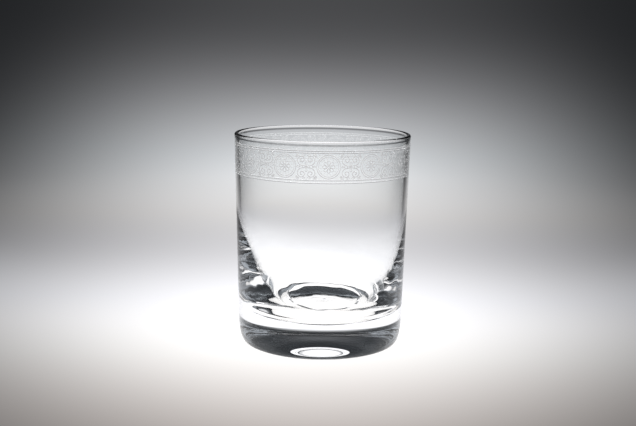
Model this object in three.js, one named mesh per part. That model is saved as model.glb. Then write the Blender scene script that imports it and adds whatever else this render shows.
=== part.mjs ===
// A lowball tumbler: one piece of clear glass with a straight tapered wall, a fire-polished rim, a
// heavy solid base and a cavity that curves in to a small step and a dished floor.
// Millimetres, +Z up, origin at the middle of the circle it stands on.
import * as THREE from "three";

// Overall size
const HEIGHT = 102.6;
const RIM_DIAMETER = 85.0; // over the bead
const HEEL_DIAMETER = 80.2; // where the straight wall runs into the rounded heel

// Foot and underside
const FOOT_DIAMETER = 70.7; // outside of the ring that meets the table
const FOOT_WIDTH = 0.8;
const KICK_DEPTH = 3.62; // how far the middle of the underside is pushed up
const KICK_FLATNESS = 1.73; // 2 makes a parabola, and more keeps the middle flatter
const HEEL_HEIGHT = 13.3;
const HEEL_FLOOR_SHARE = 0.71; // how long the heel's curve follows the table
const HEEL_WALL_SHARE = 0.77; // how long it follows the wall

// Rim: the melted edge draws itself together into a bead a little thicker than the wall
const RIM_THICKNESS = 2.07;
const RIM_CROWN = 1.04; // from the thickest place of the bead up to the top
const BEAD_HEIGHT = 2.56; // the wall starts to swell this far under the top
const BEAD_SOFTNESS = 0.51; // 0 makes the swelling a straight flare, and more makes it an S
const BEAD_OUTSIDE = 0.07; // how far the bead stands out of the wall's outer face
const BEAD_INSIDE = 0.06;

// Cavity
const WALL_THICKNESS = 2.2; // at the shoulder, where the cavity starts to close in
const SHOULDER_HEIGHT = 67.2;
const BASE_THICKNESS = 13.5; // solid glass over the middle of the foot, under the floor's dish
const SIDE_BOW = 8.48; // how far a gentle curve carries the side inwards
const SIDE_TUCK = 2.51; // how far a late, tight curve adds to that
const TUCK_SHARPNESS = 10.3; // the tuck's power: the higher, the later it comes
const SIDE_END = 5.17; // the side's curve ends this far over the floor's middle
const STEP_ROUNDING = 1.18; // how far the side runs straight on to the corner of the step
const STEP_LEAN = 0.63;
const TOE_ROUNDING = 3.76;

// Floor of the cavity
const DISH_RADIUS = 22.0;
const DISH_DEPTH = 3.08;
const DISH_FLATNESS = 2.41; // 1 makes a plain wave, and more keeps the middle flatter
const FLOOR_FALL = 1.4; // how far the floor falls from the axis to the dish's edge, apart from the dish
const RING_RADIUS = 19.75; // a low round ridge in the floor
const RING_HEIGHT = 1.15;
const RING_REACH = 0.66; // half its width, where it has lost two thirds of its height

// Faceting
const AROUND = 72;
const STEPS = { kick: 7, heel: 9, bead: 3, crown: 4, side: 12, step: 3, toe: 3, floor: 14 };
const SIDE_CROWDING = 0.7; // under 1, the side's points crowd towards its lower end
const FLOOR_CROWDING = 1.4; // over 1, the floor's points crowd towards its edge

// Kappa makes a cubic curve follow a quarter of a circle or an ellipse.
const KAPPA = 0.5523;

const point = (radius, height) => new THREE.Vector2(radius, height);

// A cubic curve without its first point, so that stretches can be strung together.
function curve(start, startHandle, endHandle, end, steps) {
  return new THREE.CubicBezierCurve(start, startHandle, endHandle, end).getPoints(steps).slice(1);
}

// A rounded corner: it leaves one stretch and joins the next along their own directions,
// which meet at the sharp corner between them.
function roundedCorner(start, corner, end, steps, startShare = KAPPA, endShare = KAPPA) {
  return curve(start, start.clone().lerp(corner, startShare), end.clone().lerp(corner, endShare), end, steps);
}

// A radius that follows a straight line through two points of the section.
function straight(a, b) {
  const slope = (b.x - a.x) / (b.y - a.y);
  return { slope, at: (height) => a.x + slope * (height - a.y) };
}

const rimRadius = RIM_DIAMETER / 2;
const innerRimRadius = rimRadius - RIM_THICKNESS;
const heelRadius = HEEL_DIAMETER / 2;
const footRadius = FOOT_DIAMETER / 2;
const innerFootRadius = footRadius - FOOT_WIDTH;

// Both faces of the wall are cones, the outer one from the heel and the inner one from the shoulder.
const outerWall = straight(point(heelRadius, HEEL_HEIGHT), point(rimRadius - BEAD_OUTSIDE, HEIGHT));
const shoulderRadius = outerWall.at(SHOULDER_HEIGHT) - WALL_THICKNESS;
const innerWall = straight(
  point(shoulderRadius, SHOULDER_HEIGHT),
  point(innerRimRadius + BEAD_INSIDE, HEIGHT),
);

function underside() {
  const dome = Array.from({ length: STEPS.kick + 1 }, (_, i) => {
    const share = i / STEPS.kick;
    return point(innerFootRadius * share, KICK_DEPTH * (1 - share ** KICK_FLATNESS));
  });
  return [...dome, point(footRadius, 0)];
}

function heel() {
  return roundedCorner(
    point(footRadius, 0),
    point(outerWall.at(0), 0),
    point(heelRadius, HEEL_HEIGHT),
    STEPS.heel,
    HEEL_FLOOR_SHARE,
    HEEL_WALL_SHARE,
  );
}

function rim() {
  const beadStart = HEIGHT - BEAD_HEIGHT;
  const widest = HEIGHT - RIM_CROWN;
  const handle = (widest - beadStart) * BEAD_SOFTNESS;
  const crown = point(rimRadius - RIM_THICKNESS / 2, HEIGHT);
  const outsideStart = point(outerWall.at(beadStart), beadStart);
  const outside = point(rimRadius, widest);
  const inside = point(innerRimRadius, widest);
  const insideEnd = point(innerWall.at(beadStart), beadStart);
  return [
    outsideStart,
    ...curve(
      outsideStart,
      point(outerWall.at(beadStart + handle), beadStart + handle),
      point(rimRadius, widest - handle),
      outside,
      STEPS.bead,
    ),
    ...roundedCorner(outside, point(rimRadius, HEIGHT), crown, STEPS.crown),
    ...roundedCorner(crown, point(innerRimRadius, HEIGHT), inside, STEPS.crown),
    ...curve(
      inside,
      point(innerRimRadius, widest - handle),
      point(innerWall.at(beadStart + handle), beadStart + handle),
      insideEnd,
      STEPS.bead,
    ),
  ];
}

function floorHeight(radius) {
  const share = Math.min(1, radius / DISH_RADIUS);
  const dish = (DISH_DEPTH * (1 - Math.cos(Math.PI * share ** DISH_FLATNESS))) / 2;
  const fall = (FLOOR_FALL * radius) / DISH_RADIUS;
  const ring = RING_HEIGHT * Math.exp(-(((radius - RING_RADIUS) / RING_REACH) ** 2));
  return BASE_THICKNESS + dish - fall + ring;
}

// The side leaves the inner wall without a kink, because both of its curves start level with it.
function side() {
  const run = SHOULDER_HEIGHT - BASE_THICKNESS - SIDE_END;
  const points = Array.from({ length: STEPS.side + 1 }, (_, i) => {
    const share = (i / STEPS.side) ** SIDE_CROWDING;
    const height = SHOULDER_HEIGHT - run * share;
    const inwards = SIDE_BOW * share ** 2 + SIDE_TUCK * share ** TUCK_SHARPNESS;
    return point(innerWall.at(height) - inwards, height);
  });
  const slope = innerWall.slope + (2 * SIDE_BOW + TUCK_SHARPNESS * SIDE_TUCK) / run;
  return { points, direction: point(-slope, -1).normalize() };
}

function cavity() {
  const { points, direction } = side();
  const sideEnd = points.at(-1);
  const edge = sideEnd.clone().addScaledVector(direction, STEP_ROUNDING);
  const toe = point(edge.x - STEP_LEAN, floorHeight(edge.x - STEP_LEAN));
  const between = edge.clone().lerp(toe, 0.5);
  const floorEdge = toe.x - TOE_ROUNDING;
  const floor = Array.from({ length: STEPS.floor }, (_, i) => {
    const radius = floorEdge * (1 - ((i + 1) / STEPS.floor) ** FLOOR_CROWDING);
    return point(radius, floorHeight(radius));
  });
  return [
    ...points,
    ...roundedCorner(sideEnd, edge, between, STEPS.step),
    ...roundedCorner(between, toe, point(floorEdge, floorHeight(floorEdge)), STEPS.toe),
    ...floor,
  ];
}

// LatheGeometry turns about Y, so the finished solid is stood up on Z.
function tumbler() {
  const profile = [...underside(), ...heel(), ...rim(), ...cavity()];
  const geometry = new THREE.LatheGeometry(profile, AROUND);
  geometry.rotateX(Math.PI / 2);
  const clearGlass = new THREE.MeshStandardMaterial({
    color: 0xf2f6f6,
    roughness: 0.02,
    metalness: 0,
    transparent: true,
    opacity: 0.35,
  });
  const mesh = new THREE.Mesh(geometry, clearGlass);
  mesh.name = "tumbler";
  return mesh;
}

const lowballGlass = new THREE.Group();
lowballGlass.name = "lowball_glass";
lowballGlass.add(tumbler());

export default lowballGlass;
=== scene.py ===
# %% [markdown]
# This lesson dresses a lowball glass for its picture. The real object is a single piece of clear
# glass: a straight wall that opens a little towards the rim, a heavy solid base, and a cavity that
# rounds inwards low down. The only other thing to make is the etched frieze under the rim.
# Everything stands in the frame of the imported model, in metres, with +Z up and the glass on z = 0.
# The glass and its frieze are worked out in millimetres, as on a drawing, and become metres when
# their meshes are made.

import math

import bmesh
import bpy
from mathutils import Matrix, Vector, noise


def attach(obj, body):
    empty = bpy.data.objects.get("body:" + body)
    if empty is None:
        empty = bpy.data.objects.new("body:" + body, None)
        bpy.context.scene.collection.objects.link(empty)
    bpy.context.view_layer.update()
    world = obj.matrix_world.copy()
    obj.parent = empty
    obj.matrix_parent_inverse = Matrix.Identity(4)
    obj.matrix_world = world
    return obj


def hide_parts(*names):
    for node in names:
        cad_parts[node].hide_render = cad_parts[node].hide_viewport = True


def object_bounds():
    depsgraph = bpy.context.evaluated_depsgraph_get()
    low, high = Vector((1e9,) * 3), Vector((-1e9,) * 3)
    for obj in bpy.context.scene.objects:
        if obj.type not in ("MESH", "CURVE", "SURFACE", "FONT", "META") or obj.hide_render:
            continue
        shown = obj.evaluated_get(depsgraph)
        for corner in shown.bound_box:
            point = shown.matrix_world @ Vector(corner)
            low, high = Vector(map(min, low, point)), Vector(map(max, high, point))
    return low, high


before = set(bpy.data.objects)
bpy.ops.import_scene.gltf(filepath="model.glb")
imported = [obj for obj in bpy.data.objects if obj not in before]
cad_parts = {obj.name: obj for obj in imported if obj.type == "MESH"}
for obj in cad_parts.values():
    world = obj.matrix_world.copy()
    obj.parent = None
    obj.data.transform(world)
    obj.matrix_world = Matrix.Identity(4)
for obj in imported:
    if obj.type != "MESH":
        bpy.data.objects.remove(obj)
cad_low, cad_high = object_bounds()

MM = 0.001
scene = bpy.context.scene
print("packed model", [round(v / MM, 2) for v in (*cad_low, *cad_high)], "mm")

# %% [markdown]
# A product photograph of glass is mostly a picture of what stands round the glass, so the camera
# comes first: where it stands decides which part of the surroundings each bit of glass shows.
# The rim's and foot's ellipses in the photograph give the height and the tilt, and how fast the
# wall narrows gives the distance. The horizon leans by less than a degree, as it does in the photo.

# %% Place the camera
CAMERA_DISTANCE = 539.4 * MM  # in front of the glass's axis
CAMERA_HEIGHT = 154.9 * MM
CAMERA_TILT = math.radians(9.64)  # downwards
CAMERA_YAW = math.radians(0.18)
CAMERA_ROLL = math.radians(0.83)
CAMERA_LENS = 63.46
SENSOR_WIDTH = 36
NEAREST_SEEN = 10 * MM

camera_data = bpy.data.cameras.new("camera")
camera_data.sensor_width = SENSOR_WIDTH
camera_data.lens = CAMERA_LENS
camera_data.clip_start = NEAREST_SEEN
camera = bpy.data.objects.new("camera", camera_data)
scene.collection.objects.link(camera)
stand = Matrix.Translation((0, -CAMERA_DISTANCE, CAMERA_HEIGHT))
aim = Matrix.Rotation(CAMERA_YAW, 4, "Z") @ Matrix.Rotation(math.pi / 2 - CAMERA_TILT, 4, "X")
camera.matrix_world = stand @ aim @ Matrix.Rotation(CAMERA_ROLL, 4, "Z")
scene.camera = camera
print("camera", [round(v, 3) for v in camera.location])

# %% [markdown]
# The glass and the studio round it are both bodies of revolution, so one helper turns them: it
# takes an outline of (radius, height) pairs that runs from the axis, copies it round, and joins the
# copies with faces. Blender's Screw modifier does the same, but a mesh made in code can be bent a
# little afterwards, point by point, as hand-made glass is.

# %% A helper that turns an outline
ON_AXIS = 1e-6 * MM  # a radius below this counts as none


def turned(name, outline, around):
    shape = bmesh.new()
    rows = []
    for radius, height in outline:
        copies = 1 if radius < ON_AXIS else around
        turns = [2 * math.pi * k / around for k in range(copies)]
        points = [(radius * math.cos(t), radius * math.sin(t), height) for t in turns]
        rows.append([shape.verts.new(point) for point in points])
    for lower, upper in zip(rows, rows[1:]):
        for k in range(around):
            corners = [lower[k % len(lower)], lower[(k + 1) % len(lower)]]
            corners += [upper[(k + 1) % len(upper)], upper[k % len(upper)]]
            # At the axis two of the corners are one point, and that makes a triangle.
            shape.faces.new(list(dict.fromkeys(corners)))
    bmesh.ops.recalc_face_normals(shape, faces=shape.faces)
    mesh = bpy.data.meshes.new(name)
    shape.to_mesh(mesh)
    shape.free()
    mesh.polygons.foreach_set("use_smooth", [True] * len(mesh.polygons))
    piece = bpy.data.objects.new(name, mesh)
    scene.collection.objects.link(piece)
    return piece


# %% [markdown]
# The picture was taken on a light table under a graded backdrop, the usual way to show clear glass:
# bright ground makes it sparkle, and darkness beside the frame draws its edges. Here both are one
# bowl: a flat floor, a round sweep and a wall. It stands more than half a metre away all round, so
# that it stays behind the camera from every side.

# %% Model the light table and backdrop
TABLE_RADIUS = 0.62
TABLE_RINGS = (0, 0.05, 0.2)  # the flat table has rows of points here too
SWEEP_RADIUS = 0.30
SWEEP_STEPS = 24
BACKDROP_TOP = 1.3
STUDIO_AROUND = 96

studio_outline = [(radius, 0) for radius in (*TABLE_RINGS, TABLE_RADIUS)]
for step in range(1, SWEEP_STEPS + 1):
    turn = math.pi / 2 * step / SWEEP_STEPS
    outwards, upwards = math.sin(turn), 1 - math.cos(turn)
    studio_outline.append((TABLE_RADIUS + SWEEP_RADIUS * outwards, SWEEP_RADIUS * upwards))
studio_outline.append((TABLE_RADIUS + SWEEP_RADIUS, BACKDROP_TOP))
studio = turned("studio", studio_outline, STUDIO_AROUND)
print("studio", len(studio.data.polygons), "faces")

# %% [markdown]
# The light itself is painted on the bowl as glow. Lamps could do it, but with clear glass every lamp
# has to be seen through many bends, and that is noisy. Glow that depends only on the place is smooth
# and quick. The place is unrolled first, into a flat map: how far a point lies from the middle along
# the table and up the sweep.

# %% Unroll the bowl into a flat map
TINY = 1e-6  # square metres, so that nothing is divided by nought in the middle

paint = bpy.data.materials.new("studio_light")
paint.use_nodes = True
light_tree = paint.node_tree
light_tree.nodes.clear()


def calculate(operation, *inputs):
    """One step of the sum. Its inputs are numbers and results of other steps."""
    node = light_tree.nodes.new("ShaderNodeMath")
    node.operation = operation
    for socket, value in zip(node.inputs, inputs):
        if isinstance(value, bpy.types.NodeSocket):
            light_tree.links.new(value, socket)
        else:
            socket.default_value = value
    return node.outputs[0]


place = light_tree.nodes.new("ShaderNodeNewGeometry")
axes = light_tree.nodes.new("ShaderNodeSeparateXYZ")
light_tree.links.new(place.outputs["Position"], axes.inputs[0])
x, y, z = axes.outputs
squares = calculate("ADD", calculate("MULTIPLY", x, x), calculate("MULTIPLY", y, y))
from_axis = calculate("SQRT", calculate("ADD", squares, TINY))
run = calculate("ADD", from_axis, z)
unroll = calculate("DIVIDE", run, from_axis)
across = calculate("MULTIPLY", x, unroll)
back = calculate("MULTIPLY", y, unroll)
print("flat map", len(light_tree.nodes), "nodes")

# %% [markdown]
# On that map the light is four soft pools: the table, the backdrop, a brighter spot right behind the
# glass and a faint one high up. Towards both sides it ends as if at dark cards, and it spreads like
# a fan from a point in front of the glass.

# %% Paint the pools of light
# Each pool: its reach to the sides, where its middle lies, its reach from front to back, its
# brightness and how flat its top is. Metres on the map, with the backdrop at the far end.
TABLE_POOL = (1.0, 0.025, 0.166, 1.23, 1.8)
BACKDROP_POOL = (0.32, 0.524, 0.349, 0.78, 2.77)
SPOT_POOL = (0.08, 0.64, 0.15, 0.13, 2.0)
UPPER_POOL = (0.5, 1.14, 0.12, 0.04, 2.0)
CARD_REACH = 0.493  # from the middle to where the dark at each side starts
CARD_HARDNESS = 6
FAN_APEX = 0.54  # in front of the glass
FAN_WIDTH = 0.318  # sideways for each metre away from the apex
FAN_TURN = -0.013  # how far the fan's middle leans sideways, measured in the same way
FAN_HARDNESS = 2
FAN_NEAREST = FAN_APEX / 10  # nearer to the apex than this, the fan gets no narrower


def distance(value, middle, reach, hardness):
    offset = calculate("DIVIDE", calculate("SUBTRACT", value, middle), reach)
    return calculate("POWER", calculate("ABSOLUTE", offset), hardness)


def fade(amount):
    return calculate("EXPONENT", calculate("MULTIPLY", amount, -1.0))


def pool(side_reach, middle, reach, brightness, flatness):
    aside = distance(across, 0, side_reach, flatness)
    away = calculate("ADD", aside, distance(back, middle, reach, flatness))
    return calculate("MULTIPLY", fade(away), brightness)


light = 0.0
for measures in (TABLE_POOL, BACKDROP_POOL, SPOT_POOL, UPPER_POOL):
    light = calculate("ADD", light, pool(*measures))
light = calculate("MULTIPLY", light, fade(distance(across, 0, CARD_REACH, CARD_HARDNESS)))
from_apex = calculate("MAXIMUM", calculate("ADD", back, FAN_APEX), FAN_NEAREST)
fan = calculate("DIVIDE", across, from_apex)
light = calculate("MULTIPLY", light, fade(distance(fan, FAN_TURN, FAN_WIDTH, FAN_HARDNESS)))
print("with pools of light", len(light_tree.nodes), "nodes")

# %% [markdown]
# The rest of the bowl is dark but for some grey round the sides and the front, and a lighter one
# high up behind the camera. The picture doesn't show those parts of the bowl, but the heel does, as
# bluish arcs at its ends.

# %% Paint the dim walls
AMBIENT = 0.016  # everything glows at least this much
SIDE_GREY = 0.2  # round the sides and the front
FRONT_GREY = 0.4  # high up behind the camera
# Each pair says where a grey is nought and where it is full. The turns are cosines of the angle
# from the back, and the rest are metres along the bowl from its middle.
SIDE_GREY_TURN = (0.75, 0.35)
SIDE_GREY_START = (0.15, 0.4)
SIDE_GREY_STOP = (1.15, 0.85)
SIDE_GREY_RETURN = (1.6, 1.8)
FRONT_GREY_TURN = (0.0, -0.3)
FRONT_GREY_START = (1.1, 1.25)


def between(value, zero_at, one_at):
    """0 on one side of a stretch and 1 on the other, with a soft change between."""
    node = light_tree.nodes.new("ShaderNodeMapRange")
    node.interpolation_type = "SMOOTHSTEP"
    node.inputs["From Min"].default_value = zero_at
    node.inputs["From Max"].default_value = one_at
    light_tree.links.new(value, node.inputs["Value"])
    return node.outputs["Result"]


towards_back = calculate("DIVIDE", y, from_axis)
side = calculate("MULTIPLY", between(towards_back, *SIDE_GREY_TURN), between(run, *SIDE_GREY_START))
below_gap = between(run, *SIDE_GREY_STOP)
above_gap = between(run, *SIDE_GREY_RETURN)
side = calculate("MULTIPLY", side, calculate("ADD", below_gap, above_gap))
front = calculate("MULTIPLY", between(towards_back, *FRONT_GREY_TURN), between(run, *FRONT_GREY_START))
side_grey = calculate("MULTIPLY", side, SIDE_GREY)
front_grey = calculate("MULTIPLY", front, FRONT_GREY)
dim = calculate("ADD", calculate("MAXIMUM", side_grey, front_grey), AMBIENT)
print("with dim walls", len(light_tree.nodes), "nodes")

# %% Make the bowl glow with both
DIM_COLOUR = (0.93, 1.0, 1.1)  # what isn't lit is slightly blue

glow = light_tree.nodes.new("ShaderNodeEmission")
light_tree.links.new(light, glow.inputs["Strength"])
dim_glow = light_tree.nodes.new("ShaderNodeEmission")
dim_glow.inputs["Color"].default_value = (*DIM_COLOUR, 1)
light_tree.links.new(dim, dim_glow.inputs["Strength"])
both = light_tree.nodes.new("ShaderNodeAddShader")
light_tree.links.new(glow.outputs[0], both.inputs[0])
light_tree.links.new(dim_glow.outputs[0], both.inputs[1])
output = light_tree.nodes.new("ShaderNodeOutputMaterial")
light_tree.links.new(both.outputs[0], output.inputs["Surface"])
studio.data.materials.append(paint)
print("studio light", len(light_tree.nodes), "nodes")

# %% [markdown]
# The light isn't one colour. The front of the table is a little warm and the backdrop turns cool
# towards its top, and the glass carries both into its edges. A colour ramp along the same flat map
# does that. The room beyond the bowl is dark and slightly blue.

# %% Tint the light
TINT_START = -0.15  # the stretch of the map, from front to back, that the ramp covers
TINT_END = 1.0
TINTS = (
    (-0.12, (1.0, 0.925, 0.885)),
    (-0.03, (1.0, 0.98, 0.965)),
    (0.08, (0.965, 0.965, 1.0)),
    (0.24, (0.98, 0.97, 1.0)),
    (0.36, (1.0, 0.98, 0.975)),
    (0.7, (0.938, 0.969, 1.0)),
    (0.95, (0.97, 0.965, 1.0)),
)
ROOM_COLOUR = (0.011, 0.012, 0.0135)

ramp = light_tree.nodes.new("ShaderNodeValToRGB")
tint_length = TINT_END - TINT_START
along = calculate("DIVIDE", calculate("SUBTRACT", back, TINT_START), tint_length)
light_tree.links.new(along, ramp.inputs["Fac"])
stops = ramp.color_ramp.elements
ready_stops = len(stops)  # a new ramp has two
for i, (position, colour) in enumerate(TINTS):
    share = (position - TINT_START) / tint_length
    stop = stops[i] if i < ready_stops else stops.new(share)
    stop.position = share
    stop.color = (*colour, 1)
light_tree.links.new(ramp.outputs["Color"], glow.inputs["Color"])

room = bpy.data.worlds.new("room")
room.use_nodes = True
room.node_tree.nodes["Background"].inputs["Color"].default_value = (*ROOM_COLOUR, 1)
scene.world = room
print("tints", len(stops))

# %% [markdown]
# The etched lines are the only matt thing in the picture, and glow that comes through the glass from
# behind leaves them grey. In a studio they catch the light of the room from the front. A few large
# soft lamps stand round the glass for that. Clear glass would mirror them as bright windows, so they
# are switched off for mirror images and for rays that pass through glass.

# %% Light the matt lines from outside
FILL_LAMPS = 4
FILL_DISTANCE = 0.5
FILL_HEIGHT = 0.35
FILL_SIZE = 0.3
FILL_POWER = 6.5  # watts

for k in range(FILL_LAMPS):
    turn = 2 * math.pi * (k + 0.5) / FILL_LAMPS
    lamp_data = bpy.data.lights.new(f"fill_{k}", "AREA")
    lamp_data.size = FILL_SIZE
    lamp_data.energy = FILL_POWER
    lamp = bpy.data.objects.new(f"fill_{k}", lamp_data)
    lamp.location = (FILL_DISTANCE * math.cos(turn), FILL_DISTANCE * math.sin(turn), FILL_HEIGHT)
    lamp.rotation_euler = (-lamp.location).to_track_quat("-Z", "Y").to_euler()
    lamp.visible_camera = False
    lamp.visible_glossy = False
    lamp.visible_transmission = False
    scene.collection.objects.link(lamp)
print("fill lamps", FILL_LAMPS)

# %% [markdown]
# Clear glass asks more of the renderer than other things: a ray through the solid base may be
# turned back at its walls ten times before it leaves. With too few bounces those places go black.
# The plain view transform keeps the white table white.

# %% Set how light is followed
GLASS_BOUNCES = 32
MIRROR_BOUNCES = 12
BRIGHTEST_BOUNCE = 10  # what a single ray adds after a bounce is cut down to this

scene.view_settings.view_transform = "Standard"
scene.view_settings.look = "None"
scene.cycles.max_bounces = GLASS_BOUNCES
scene.cycles.transmission_bounces = GLASS_BOUNCES
scene.cycles.glossy_bounces = MIRROR_BOUNCES
scene.cycles.transparent_max_bounces = GLASS_BOUNCES
scene.cycles.caustics_reflective = True
scene.cycles.caustics_refractive = True
scene.cycles.blur_glossy = 0
scene.cycles.sample_clamp_indirect = BRIGHTEST_BOUNCE
print("bounces in glass", GLASS_BOUNCES)

# %% [markdown]
# Now the glass. Its outline runs once round the section: along the underside, up the heel and the
# wall, over the rim and down the inside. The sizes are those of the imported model, which gives the
# height and the rim, but each curve is drawn finer, because a base of solid glass is a thick lens and
# a faceted lens shows its facets. Only the underside differs: its hollow is a fifth of a millimetre
# deeper and a little less flat, and the ring round it is narrower, for the sake of the half-moon that
# it throws.

# %% Sizes of the glass
HEIGHT = cad_high[2] / MM
RIM_DIAMETER = 2 * cad_high[0] / MM  # over the bead
HEEL_DIAMETER = 80.2  # where the straight wall runs into the rounded heel
HEEL_HEIGHT = 13.3
HEEL_FLOOR_SHARE = 0.71  # how long the heel's curve follows the table
HEEL_WALL_SHARE = 0.77  # how long it follows the wall
FOOT_DIAMETER = 70.7
FOOT_WIDTH = 0.02  # fire polish leaves hardly more than a line that meets the table
KICK_DEPTH = 3.8  # how far the middle of the underside is pushed up
KICK_FLATNESS = 1.63  # 2 makes a parabola, and more keeps the middle flatter

RIM_THICKNESS = 2.07
RIM_CROWN = 1.04  # from the thickest place of the bead up to the top
BEAD_HEIGHT = 2.56  # the wall starts to swell this far under the top
BEAD_SOFTNESS = 0.51  # 0 makes the swelling a straight flare, and more makes it an S
BEAD_OUTSIDE = 0.07  # how far the bead stands out of the wall's faces
BEAD_INSIDE = 0.06
print("glass", round(HEIGHT, 2), "mm high and", round(RIM_DIAMETER, 2), "mm across the rim")

# %% Sizes of the cavity
WALL_THICKNESS = 2.2  # at the shoulder, where the cavity starts to close in
SHOULDER_HEIGHT = 67.2
BASE_THICKNESS = 13.5  # solid glass over the middle of the foot, under the floor's dish
SIDE_BOW = 8.48  # how far a gentle curve carries the side inwards
SIDE_TUCK = 2.51  # how far a late, tight curve adds to that
TUCK_SHARPNESS = 10.3  # the tuck's power: the higher, the later it comes
SIDE_END = 5.17  # the side's curve ends this far over the floor's middle
STEP_ROUNDING = 1.18  # how far the side runs straight on to the corner of the step
STEP_LEAN = 0.63  # how far the foot of the step lies inside its edge
TOE_ROUNDING = 3.76  # how much of the floor the corner at that foot takes up
DISH_RADIUS = 22.0
DISH_DEPTH = 3.08
DISH_FLATNESS = 2.41  # 1 makes a plain wave, and more keeps the middle flatter
FLOOR_FALL = 1.4  # how far the floor falls from the axis to the dish's edge, apart from the dish
RING_RADIUS = 19.75  # a low round ridge in the floor
RING_HEIGHT = 1.15
RING_REACH = 0.66  # half its width, where it has lost two thirds of its height

# %% Helpers for the outline
QUARTER_SHARE = 0.5523  # with this share a rounded corner follows a quarter of a circle


def curve(start, start_handle, end_handle, end, steps):
    """The points of a cubic curve after its first one."""
    points = []
    for i in range(1, steps + 1):
        t = i / steps
        one = (1 - t) ** 3 * Vector(start) + 3 * (1 - t) ** 2 * t * Vector(start_handle)
        other = 3 * (1 - t) * t**2 * Vector(end_handle) + t**3 * Vector(end)
        points.append(tuple(one + other))
    return points


def rounded_corner(start, corner, end, steps, start_share=QUARTER_SHARE, end_share=QUARTER_SHARE):
    """A curve that leaves start and reaches end in the directions of the sharp corner."""
    start, corner, end = Vector(start), Vector(corner), Vector(end)
    return curve(start, start.lerp(corner, start_share), end.lerp(corner, end_share), end, steps)


# %% Straight walls outside and inside
rim_radius = RIM_DIAMETER / 2
inner_rim_radius = rim_radius - RIM_THICKNESS
heel_radius = HEEL_DIAMETER / 2
foot_radius = FOOT_DIAMETER / 2
wall_taper = (rim_radius - BEAD_OUTSIDE - heel_radius) / (HEIGHT - HEEL_HEIGHT)


def outer_radius_at(height):
    return heel_radius + wall_taper * (height - HEEL_HEIGHT)


shoulder_radius = outer_radius_at(SHOULDER_HEIGHT) - WALL_THICKNESS
inner_taper = (inner_rim_radius + BEAD_INSIDE - shoulder_radius) / (HEIGHT - SHOULDER_HEIGHT)


def inner_radius_at(height):
    return shoulder_radius + inner_taper * (height - SHOULDER_HEIGHT)


for height in (SHOULDER_HEIGHT, HEIGHT - BEAD_HEIGHT):
    thickness = outer_radius_at(height) - inner_radius_at(height)
    print("wall", round(thickness, 2), "mm thick at a height of", round(height, 2), "mm")

# %% [markdown]
# The underside is pushed up a little, so that the glass stands on a narrow ring and doesn't rock.
# That hollow bends the light of the table into the bright half-moon at the bottom of the picture.


# %% Outline of the underside and heel
def underside(steps=24):
    kick_radius = foot_radius - FOOT_WIDTH
    points = []
    for i in range(steps + 1):
        share = i / steps
        points.append((kick_radius * share, KICK_DEPTH * (1 - share**KICK_FLATNESS)))
    return points + [(foot_radius, 0)]


def heel(steps=40):
    start, corner, end = (foot_radius, 0), (outer_radius_at(0), 0), (heel_radius, HEEL_HEIGHT)
    return rounded_corner(start, corner, end, steps, HEEL_FLOOR_SHARE, HEEL_WALL_SHARE)


# %% [markdown]
# A rim is polished by melting it, and the melted edge draws itself together into a bead that is a
# little thicker than the wall. The bead works like a glass rod lying on its side: it turns what is
# behind it upside down, so its top shows the bright table and its lower edge the dark above.


# %% Outline of the rim
def rim(steps=12):
    bead_start = HEIGHT - BEAD_HEIGHT
    widest = HEIGHT - RIM_CROWN
    handle = (widest - bead_start) * BEAD_SOFTNESS
    crown = (rim_radius - RIM_THICKNESS / 2, HEIGHT)
    outside_start = (outer_radius_at(bead_start), bead_start)
    outside_handle = (outer_radius_at(bead_start + handle), bead_start + handle)
    outside, outside_corner = (rim_radius, widest), (rim_radius, HEIGHT)
    inside, inside_corner = (inner_rim_radius, widest), (inner_rim_radius, HEIGHT)
    inside_handle = (inner_radius_at(bead_start + handle), bead_start + handle)
    inside_end = (inner_radius_at(bead_start), bead_start)
    points = [outside_start]
    points += curve(outside_start, outside_handle, (rim_radius, widest - handle), outside, steps)
    points += rounded_corner(outside, outside_corner, crown, steps)
    points += rounded_corner(crown, inside_corner, inside, steps)
    return points + curve(inside, (inner_rim_radius, widest - handle), inside_handle, inside_end, steps)


# %% [markdown]
# The cavity is what the plunger or the blower leaves. Its side curves in more and more: a gentle
# bow all the way down and a late, tight tuck near the floor. Then comes a small step, and a floor
# that is dished towards its middle and has a low ring near its edge. The step, the ring and the
# dish are only a millimetre or two high, but they draw the arches and the dark crescent that the
# eye reads as thick glass.


# %% Outline of the cavity
def floor_height(radius):
    share = min(1, radius / DISH_RADIUS)
    dish = DISH_DEPTH * (1 - math.cos(math.pi * share**DISH_FLATNESS)) / 2
    fall = FLOOR_FALL * radius / DISH_RADIUS
    floor_ring = RING_HEIGHT * math.exp(-(((radius - RING_RADIUS) / RING_REACH) ** 2))
    return BASE_THICKNESS + dish - fall + floor_ring


def cavity(side_steps=60, step_steps=16, floor_steps=64):
    side_height = SHOULDER_HEIGHT - BASE_THICKNESS - SIDE_END
    points = []
    for i in range(side_steps + 1):
        share = i / side_steps
        height = SHOULDER_HEIGHT - side_height * share
        inwards = SIDE_BOW * share**2 + SIDE_TUCK * share**TUCK_SHARPNESS
        points.append((inner_radius_at(height) - inwards, height))
    slope = inner_taper + (2 * SIDE_BOW + TUCK_SHARPNESS * SIDE_TUCK) / side_height
    edge = Vector(points[-1]) + STEP_ROUNDING * Vector((-slope, -1)).normalized()
    toe = Vector((edge.x - STEP_LEAN, floor_height(edge.x - STEP_LEAN)))
    floor_edge = toe.x - TOE_ROUNDING
    points += rounded_corner(points[-1], edge, (edge + toe) / 2, step_steps)
    points += rounded_corner((edge + toe) / 2, toe, (floor_edge, floor_height(floor_edge)), step_steps)
    for i in range(1, floor_steps + 1):
        radius = floor_edge * (1 - i / floor_steps)
        points.append((radius, floor_height(radius)))
    return points


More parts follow.
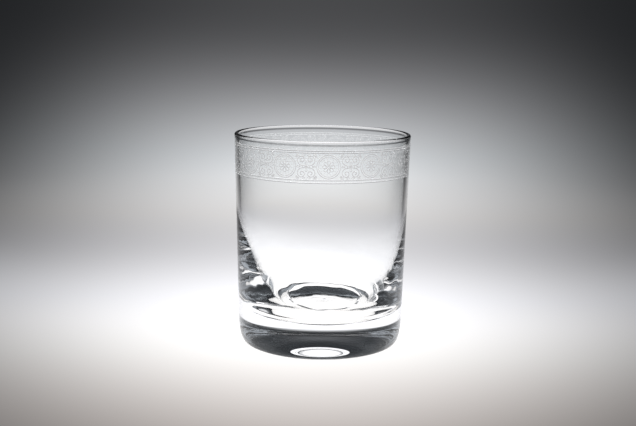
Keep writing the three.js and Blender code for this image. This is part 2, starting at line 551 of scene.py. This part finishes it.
# %% Turn the glass
GLASS_AROUND = 256

glass_outline = [*underside(), *heel(), *rim(), *cavity()]
in_metres = [(radius * MM, height * MM) for radius, height in glass_outline]
tumbler = turned("clear_tumbler", in_metres, GLASS_AROUND)
print("tumbler", len(tumbler.data.vertices), "points,", len(glass_outline), "in its outline")

# %% [markdown]
# Glass that was shaped hot is never quite true. The bottom of the cavity lies a little to one side
# of the outside's axis, and its surface has waves of a few hundredths of a millimetre. A ray crosses
# thick glass at such a slant that these waves turn the smooth bright patches at the dark sides into
# ragged threads. The waves follow a fixed noise, so that each render gets the same ones.

# %% Make the cavity slightly uneven
CAVITY_LEAN = 1.35  # towards +X at the floor, and softly less towards the shoulder
WAVE_HEIGHT = 0.06
WAVE_LENGTH = 4
WAVE_TOP = 45  # there are no waves above this height
WAVE_FADE = 10  # they grow to their full height within this much below it
CALM_RADIUS = 8  # and they die away again within this much of the axis
FLOOR_MARGIN = 1  # the floor's lowest place is less than this below its middle


def in_cavity(radius, height):
    middle_of_wall = outer_radius_at(height) - WALL_THICKNESS / 2
    return height > BASE_THICKNESS - FLOOR_MARGIN and radius < middle_of_wall


# The normals are copied first, because moving a point makes Blender work all of them out again.
normals = [normal.vector.copy() for normal in tumbler.data.vertex_normals]
moved = 0
for vertex, normal in zip(tumbler.data.vertices, normals):
    height = vertex.co.z / MM
    radius = math.hypot(vertex.co.x, vertex.co.y) / MM
    if height < SHOULDER_HEIGHT and in_cavity(radius, height):
        strength = max(0, min(1, (WAVE_TOP - height) / WAVE_FADE, radius / CALM_RADIUS))
        wave = WAVE_HEIGHT * noise.noise(vertex.co / (WAVE_LENGTH * MM))
        vertex.co += normal * (wave * strength * MM)
        depth = min(1, (SHOULDER_HEIGHT - height) / (SHOULDER_HEIGHT - BASE_THICKNESS))
        vertex.co.x += CAVITY_LEAN * MM * depth**2 * (3 - 2 * depth)
        moved += 1
print("cavity points moved", moved)

# %% [markdown]
# The finish is plain clear glass, polished by fire. One Principled shader with full transmission and
# no roughness does it all, and the bends and mirror images come from the shape. The faint mirror
# images of the white table would veil the dark heel with grey, more than the photograph shows, so
# the specular tint holds them back. What the glass mirrors fully, at a slant, isn't changed by it.

# %% Clear glass
GLASS_TINT = (0.994, 1.0, 1.0)
GLASS_IOR = 1.505
MIRROR_TINT = (0.4, 0.46, 0.52)  # the share that is kept of faint mirror images

clear_glass = bpy.data.materials.new("clear_glass")
clear_glass.use_nodes = True
shader = clear_glass.node_tree.nodes["Principled BSDF"]
shader.inputs["Base Color"].default_value = (*GLASS_TINT, 1)
shader.inputs["Roughness"].default_value = 0
shader.inputs["IOR"].default_value = GLASS_IOR
shader.inputs["Specular Tint"].default_value = (*MIRROR_TINT, 1)
shader.inputs["Transmission Weight"].default_value = 1
tumbler.data.materials.append(clear_glass)
tumbler.visible_shadow = False  # the lamps shine through it on the lines of the far side
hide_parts("tumbler")
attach(tumbler, "root")
print("clear glass on", tumbler.name)

# %% [markdown]
# The frieze is etched: on the real glass, acid bites fine lines through a wax coat that a tracing
# machine has scratched, and leaves them matt. Such a pattern could be painted into the glass's
# material, but then it would have no shape of its own. Here each line is a low matt ridge on the
# wall. The pattern is drawn flat first, across and up from the middle of the band, in millimetres,
# because that is how an engraver would lay it out.

# %% Draw lines on the flat pattern
BORDER_LINE = 0.55
MAIN_LINE = 0.42
FINE_LINE = 0.3
PETAL_STEPS = 14
TEARDROP = 0.35  # 0 makes an ellipse
etched_lines = []


def draw(points, width, closed=False, relief=1):
    etched_lines.append((points, width, closed, relief))


def circle(centre_x, radius, width, steps=48):
    turns = [2 * math.pi * i / steps for i in range(steps)]
    draw([(centre_x + radius * math.cos(t), radius * math.sin(t)) for t in turns], width, True)


def petal(x, y, angle, inner, outer, half_width):
    """A teardrop that points at (x, y) and lies from inner to outer along the angle."""
    points = []
    for i in range(PETAL_STEPS):
        turn = 2 * math.pi * i / PETAL_STEPS
        along = (inner + outer - (outer - inner) * math.cos(turn)) / 2
        aside = half_width * math.sin(turn) * (1 - TEARDROP * math.cos(turn))
        across = x + along * math.cos(angle) - aside * math.sin(angle)
        up = y + along * math.sin(angle) + aside * math.cos(angle)
        points.append((across, up))
    draw(points, FINE_LINE, True)


# %% [markdown]
# Thirteen roundels go round the glass. Each has a double outer line, a ring of short ticks like a
# coin's edge, and a rosette of eight petals. This is an old stock pattern, so its sizes come from
# the height of the band: the outer line just misses the border lines.

# %% Draw a roundel
ROUNDEL_RADIUS = 5.35
INNER_LINE = 0.8  # how far the second line lies inside the first
TICKS = 16
TICK_INSETS = (2.1, 1.3)  # how far inside the first line a tick starts and ends
ROSETTE_PETALS = 8
ROSETTE_PETAL = (0.8, 2.8, 0.62)  # where a petal starts and ends, and half its width
ROSETTE_EYE = 0.5
ROSETTE_EYE_STEPS = 16


def roundel(x):
    circle(x, ROUNDEL_RADIUS, MAIN_LINE)
    circle(x, ROUNDEL_RADIUS - INNER_LINE, FINE_LINE)
    for k in range(TICKS):
        angle = 2 * math.pi * (k + 0.5) / TICKS
        reach = [ROUNDEL_RADIUS - inset for inset in TICK_INSETS]
        draw([(x + r * math.cos(angle), r * math.sin(angle)) for r in reach], MAIN_LINE)
    for k in range(ROSETTE_PETALS):
        petal(x, 0, 2 * math.pi * k / ROSETTE_PETALS, *ROSETTE_PETAL)
    circle(x, ROSETTE_EYE, FINE_LINE, ROSETTE_EYE_STEPS)


# %% [markdown]
# Between two roundels, four large scrolls spring from a small cross of petals, and four small ones
# from near the borders. A scroll is a stem that runs straight and then rolls up, so it is drawn as a
# pen would draw it: step by step, turning a little more each time. One quarter is enough, because
# the rest is its mirror image.

# %% A helper that draws a scroll
SCROLL_TIGHTENS = 0.8  # share of its radius that a scroll loses by its end


def scroll(start, heading, lead, radius, turns, width, steps):
    """A stem that leaves start, runs on for lead and then rolls up to its left."""
    x = start[0] + lead * math.cos(heading)
    y = start[1] + lead * math.sin(heading)
    points = [start, (x, y)]
    step = 2 * math.pi * radius * turns * (1 - SCROLL_TIGHTENS / 2) / steps
    for i in range(steps):
        heading += step / (radius * (1 - SCROLL_TIGHTENS * i / steps))
        x += step * math.cos(heading)
        y += step * math.sin(heading)
        points.append((x, y))
    draw(points, width)


# %% Draw what fills the space between two roundels
# Each scroll: its start, heading, lead, radius, turns, line width and steps.
LARGE_SCROLL = ((0.45, 0.5), math.radians(2), 1.4, 2.6, 1.3, MAIN_LINE, 36)
SMALL_SCROLL = ((0.3, 5.6), math.radians(-58), 0.8, 0.8, 0.95, FINE_LINE, 18)
LEAF_ROOT = (3.1, 3.9)  # three leaves fan out round this point
LEAF_START = 1.05
LEAVES = ((24, 1.9), (48, 2.2), (72, 1.9))  # each leaf's angle in degrees, and where it ends
LEAF_HALF_WIDTH = 0.24
SIDE_PETAL_PLACE = 2.5  # from the middle of the cross to the petal at each side
SIDE_PETAL = (0.2, 1.9, 0.3)  # its start, its end and half its width
CROSS_PETALS = 4
CROSS_PETAL_START = 0.35
CROSS_PETAL_ENDS = (1.7, 2.2)  # level and upright
CROSS_PETAL_HALF_WIDTH = 0.42
CROSS_EYE = 0.3
CROSS_EYE_STEPS = 12


def quarter_of_filling():
    scroll(*LARGE_SCROLL)
    scroll(*SMALL_SCROLL)
    for angle, end in LEAVES:
        petal(*LEAF_ROOT, math.radians(angle), LEAF_START, end, LEAF_HALF_WIDTH)


def filling(x):
    for side in (-1, 1):
        for up in (-1, 1):
            first = len(etched_lines)
            quarter_of_filling()
            for i in range(first, len(etched_lines)):
                points, *style = etched_lines[i]
                etched_lines[i] = ([(x + side * across, up * high) for across, high in points], *style)
        petal(x + side * SIDE_PETAL_PLACE, 0, 0 if side > 0 else math.pi, *SIDE_PETAL)
    for k in range(CROSS_PETALS):
        end = CROSS_PETAL_ENDS[k % 2]
        petal(x, 0, 2 * math.pi * k / CROSS_PETALS, CROSS_PETAL_START, end, CROSS_PETAL_HALF_WIDTH)
    circle(x, CROSS_EYE, FINE_LINE, CROSS_EYE_STEPS)


# %% [markdown]
# The band is now drawn out flat at its full length, with two lines above it and two below, and
# wrapped on the wall. Across becomes a turn round the axis, and up stays up. The first roundel
# stands a few degrees to the right of the middle, as in the photograph. The far side of the frieze
# is out of focus there and can't be seen, and at both sides the lines crowd into a plain grey. A
# pinhole camera keeps them sharp, so the ridges get lower towards the sides and the back instead.

# %% Lay out the whole band
ROUNDELS = 13
BAND_HEIGHT = 91.3  # of the roundels' middles
BORDERS = (98.4, 97.5, 85.2, 83.9)  # heights of the border lines
BORDER_STEPS = 360
BORDER_RELIEF = 1.6  # the border lines stand higher than the rest

band_radius = outer_radius_at(BAND_HEIGHT)
band_length = 2 * math.pi * band_radius
pitch = band_length / ROUNDELS
for k in range(ROUNDELS):
    roundel(k * pitch)
    filling((k + 0.5) * pitch)
for height in BORDERS:
    stations = [(band_length * i / BORDER_STEPS, height - BAND_HEIGHT) for i in range(BORDER_STEPS)]
    draw(stations, BORDER_LINE, True, BORDER_RELIEF)
print("frieze", len(etched_lines), "lines,", sum(len(line[0]) for line in etched_lines), "points")

# %% Helpers that wrap a line on the wall
FIRST_ROUNDEL = math.radians(4.0)  # to the right of the front
LINE_FOOT = 0.003  # the ridge's inner face stands off the wall by this much
RIDGE = 0.17  # height of a ridge for each millimetre of its width
FAINTEST = 0.1  # the share of that height on the side that is away from the camera
FADE_POWER = 3  # the higher, the sooner the ridges get lower on the way there
LINE_END = 0.3  # how much of its width a line keeps at its ends


def height_share_at(across):
    """1 at the front of the glass, and less towards the back."""
    facing = (1 + math.cos(FIRST_ROUNDEL + across / band_radius)) / 2
    return FAINTEST + (1 - FAINTEST) * facing**FADE_POWER


def on_wall(across, up, proud):
    azimuth = FIRST_ROUNDEL + across / band_radius
    height = BAND_HEIGHT + up
    radius = outer_radius_at(height) + proud
    return Vector((radius * math.sin(azimuth), -radius * math.cos(azimuth), height)) * MM


def direction_at(points, i, closed):
    """Along the line at one of its points, also where a border closes on itself."""
    before, here, after = (Vector(points[k % len(points)]) for k in (i - 1, i, i + 1))
    if not closed and i == 0 or (before - here).length > pitch:
        before = here
    if not closed and i == len(points) - 1 or (after - here).length > pitch:
        after = here
    return (after - before).normalized()


# %% Raise the lines as ridges
def ridge(shape, points, width, closed, relief):
    """A low roof along the points: three points at each station."""
    sections = []
    for i, (across, up) in enumerate(points):
        way = direction_at(points, i, closed)
        at_end = not closed and i in (0, len(points) - 1)
        half = width / 2 * (LINE_END if at_end else 1)
        crest = 2 * half * RIDGE * relief * height_share_at(across)
        section = []
        for side, proud in ((-half, LINE_FOOT), (0, LINE_FOOT + crest), (half, LINE_FOOT)):
            section.append(shape.verts.new(on_wall(across - side * way.y, up + side * way.x, proud)))
        sections.append(section)
    following = sections[1:] + sections[:1] if closed else sections[1:]
    for here, there in zip(sections, following):
        for k in range(len(here)):
            after = (k + 1) % len(here)
            shape.faces.new((here[k], here[after], there[after], there[k]))
    if not closed:
        shape.faces.new(sections[0])
        shape.faces.new(sections[-1])


shape = bmesh.new()
for line in etched_lines:
    ridge(shape, *line)
bmesh.ops.recalc_face_normals(shape, faces=shape.faces)
frieze_mesh = bpy.data.meshes.new("etched_frieze")
shape.to_mesh(frieze_mesh)
shape.free()
frieze = bpy.data.objects.new("etched_frieze", frieze_mesh)
scene.collection.objects.link(frieze)
print("frieze mesh", len(frieze_mesh.polygons), "faces")

# %% [markdown]
# Etched glass is matt but it isn't paint: most of the light still comes through. So the ridges are
# rough glass, and each of their two flanks leans towards another part of the surroundings, which is
# why a line shows a light and a dark side. A tenth of the light is scattered back, and that makes
# the lines paler than the dark wall behind them. A fine noise varies how rough they are, because
# acid never bites evenly.

# %% Etched finish
ETCH_TINT = (1.0, 1.0, 1.0)
ETCH_CLEARNESS = 0.9  # the share of the light that isn't scattered back
ETCH_SMOOTHEST = 0.1  # roughness
ETCH_ROUGHEST = 0.27
GRAIN_SCALE = 900  # per metre
GRAIN_DETAIL = 3
GRAIN_RANGE = (0.35, 0.65)  # most of the noise's values lie between these

etched = bpy.data.materials.new("etched_glass")
etched.use_nodes = True
etched_tree = etched.node_tree
shader = etched_tree.nodes["Principled BSDF"]
shader.inputs["Base Color"].default_value = (*ETCH_TINT, 1)
shader.inputs["IOR"].default_value = GLASS_IOR
shader.inputs["Transmission Weight"].default_value = ETCH_CLEARNESS
grain = etched_tree.nodes.new("ShaderNodeTexNoise")
grain.inputs["Scale"].default_value = GRAIN_SCALE
grain.inputs["Detail"].default_value = GRAIN_DETAIL
place = etched_tree.nodes.new("ShaderNodeTexCoord")
etched_tree.links.new(place.outputs["Object"], grain.inputs["Vector"])
bite = etched_tree.nodes.new("ShaderNodeMapRange")
bite.inputs["From Min"].default_value = GRAIN_RANGE[0]
bite.inputs["From Max"].default_value = GRAIN_RANGE[1]
bite.inputs["To Min"].default_value = ETCH_SMOOTHEST
bite.inputs["To Max"].default_value = ETCH_ROUGHEST
etched_tree.links.new(grain.outputs["Fac"], bite.inputs["Value"])
etched_tree.links.new(bite.outputs["Result"], shader.inputs["Roughness"])
frieze.data.materials.append(etched)
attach(frieze, "root")
print("etched glass on", frieze.name)
